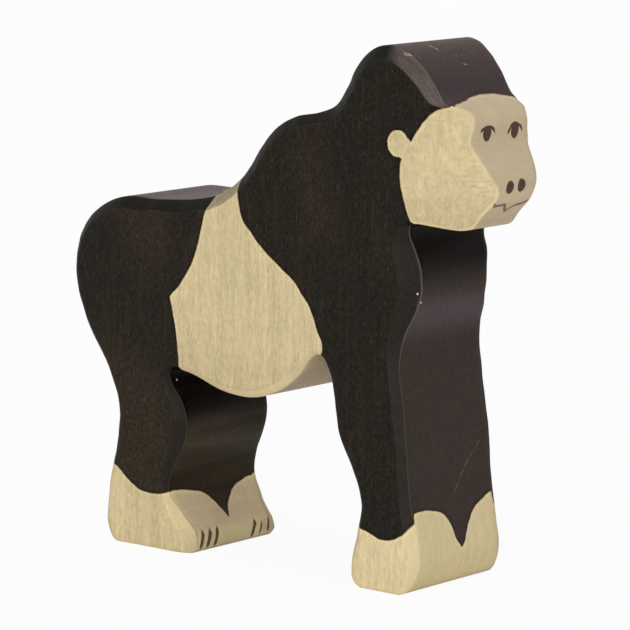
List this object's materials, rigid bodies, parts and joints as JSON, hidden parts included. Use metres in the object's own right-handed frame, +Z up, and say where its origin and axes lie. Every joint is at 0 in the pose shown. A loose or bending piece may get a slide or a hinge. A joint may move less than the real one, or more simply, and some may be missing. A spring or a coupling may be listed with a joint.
{
  "type": "gorilla figurine",
  "caption": "Flat-sided wooden gorilla standing on all four limbs, sawn from a board with sanded edges, stained black-brown with pale face, belly, hands and feet.",
  "frame": {"origin": "on the floor under the body, midway along its length and its thickness", "axes": "+X towards the face, +Y through the thickness towards the gorilla's left side, +Z up"},
  "size_m": [0.11, 0.03, 0.112],
  "materials": {
    "painted_wood": "satin black-brown stain over pale close-grained wood, left bare on face, belly, hands and feet"
  },
  "bodies": {
    "root": {"gorilla": "painted_wood"}
  },
  "joints": []
}
